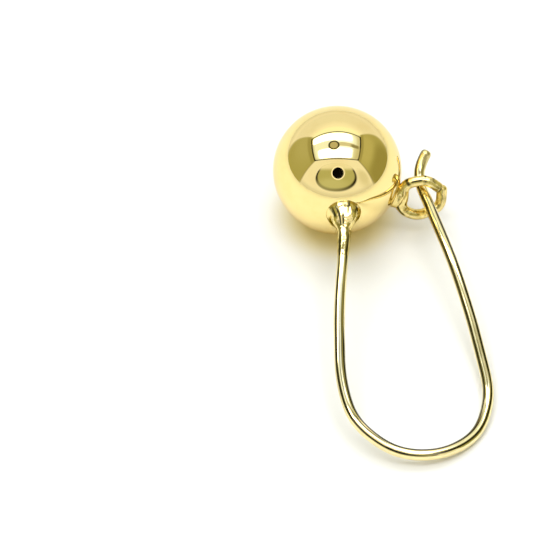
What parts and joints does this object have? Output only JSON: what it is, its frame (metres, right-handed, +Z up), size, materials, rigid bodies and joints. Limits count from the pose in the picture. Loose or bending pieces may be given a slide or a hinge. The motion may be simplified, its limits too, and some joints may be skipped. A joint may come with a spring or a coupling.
{
  "type": "ball earring on a springy ear wire",
  "caption": "Hollow polished ball soldered to a long bent ear wire whose free end springs into a small split catch ring on the ball.",
  "frame": {"origin": "on the surface that the earring lies on, under the middle of its bounding box", "axes": "+Z up from that surface, +Y from the far bend of the ear wire towards the ball, +X from the soldered leg of the wire towards its free leg"},
  "size_m": [0.0166, 0.0298, 0.01],
  "materials": {
    "gold": "mirror polished, gold plated"
  },
  "bodies": {
    "root": {"ball_ear_wire": "gold"}
  },
  "joints": []
}
